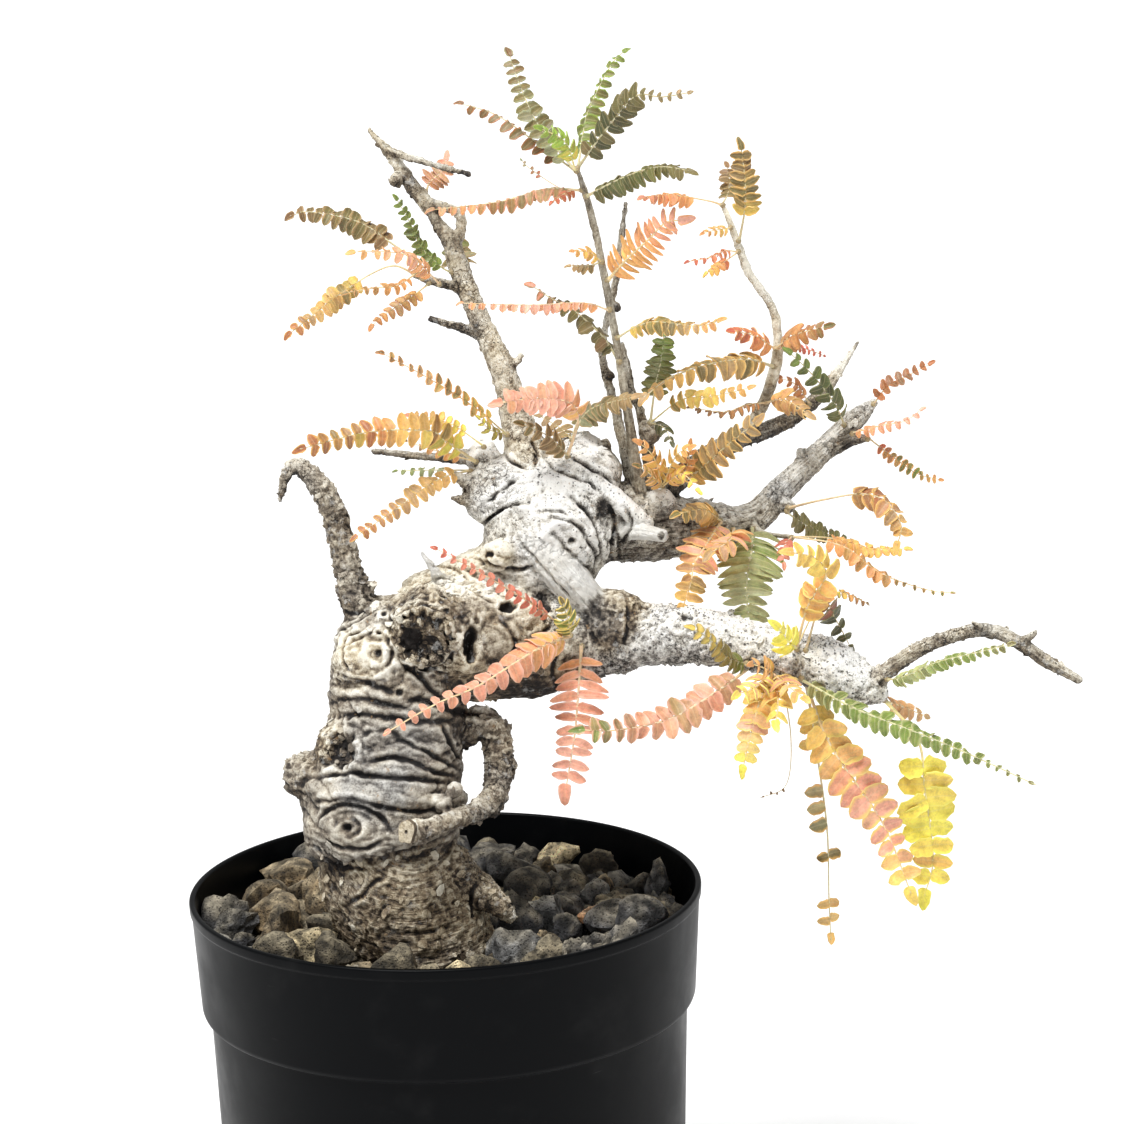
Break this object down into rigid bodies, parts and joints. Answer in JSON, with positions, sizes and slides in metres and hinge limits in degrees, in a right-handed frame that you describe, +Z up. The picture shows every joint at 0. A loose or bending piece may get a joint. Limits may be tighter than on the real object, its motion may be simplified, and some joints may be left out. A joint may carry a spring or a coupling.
{
  "type": "bonsai tree",
  "caption": "Small frankincense-family bonsai with a burled, bent trunk and loose compound leaves, in a round black plastic pot of lava gravel.",
  "frame": {"origin": "middle of the pot's underside, on the surface that it stands on", "axes": "+Z up along the pot's axis, -Y toward the front of the tree, +X toward the side that the long limbs lean to"},
  "size_m": [0.2545, 0.15, 0.3701],
  "materials": {
    "pot_plastic": "satin",
    "lava_gravel": "matte",
    "bark": "matte",
    "foliage_green": "satin",
    "foliage_olive": "satin",
    "foliage_orange": "satin",
    "foliage_salmon": "satin",
    "foliage_yellow": "satin"
  },
  "bodies": {
    "root": {"pot": "pot_plastic", "gravel": "lava_gravel", "wood": "bark", "leaf_crown_left": "foliage_olive", "leaf_crown_top": "foliage_green", "leaf_crown_right": "foliage_green", "leaf_crown_long": "foliage_orange", "leaf_shoot_right": "foliage_salmon", "leaf_shoot_small": "foliage_yellow", "leaf_shoot_left": "foliage_orange", "leaf_shoot_low": "foliage_olive", "leaf_shoot_arch": "foliage_olive", "leaf_knob": "foliage_green", "leaf_twig_top": "foliage_green", "leaf_twig_tip": "foliage_orange", "leaf_twig_small": "foliage_yellow", "leaf_twig_low": "foliage_salmon", "leaf_twig_broad": "foliage_olive", "leaf_twig_middle": "foliage_orange", "leaf_twig_foot": "foliage_orange", "leaf_upper_round": "foliage_green", "leaf_back_rust": "foliage_orange", "leaf_upper_tip": "foliage_salmon", "leaf_upper_thin": "foliage_salmon", "leaf_upper_fork": "foliage_olive", "leaf_upper_curl": "foliage_orange", "leaf_upper_olive": "foliage_olive", "leaf_stem_right": "foliage_yellow", "leaf_collar_olive": "foliage_olive", "leaf_collar_yellow": "foliage_yellow", "leaf_limb_broad": "foliage_orange", "leaf_limb_green": "foliage_green", "leaf_limb_salmon": "foliage_salmon", "leaf_lower_arch": "foliage_orange", "leaf_lower_hang": "foliage_green", "leaf_lower_olive": "foliage_olive", "leaf_lower_long": "foliage_salmon", "leaf_lower_cluster": "foliage_orange", "leaf_lower_bare": "foliage_olive", "leaf_lower_green": "foliage_green", "leaf_lower_drop": "foliage_yellow", "leaf_lower_yellow": "foliage_yellow", "leaf_end_green": "foliage_green", "leaf_front_salmon": "foliage_salmon", "leaf_front_hang": "foliage_salmon", "leaf_front_red": "foliage_salmon", "leaf_left_long": "foliage_orange", "leaf_left_low": "foliage_orange", "leaf_left_yellow": "foliage_yellow", "leaf_left_high": "foliage_olive", "leaf_crown_pink": "foliage_salmon", "leaf_crown_olive": "foliage_olive", "leaf_branch_far": "foliage_olive", "leaf_branch_green": "foliage_green", "leaf_branch_orange": "foliage_salmon", "leaf_branch_low": "foliage_olive", "leaf_branch_curl": "foliage_orange", "leaf_branch_back": "foliage_olive", "leaf_branch_tip": "foliage_orange"}
  },
  "joints": []
}
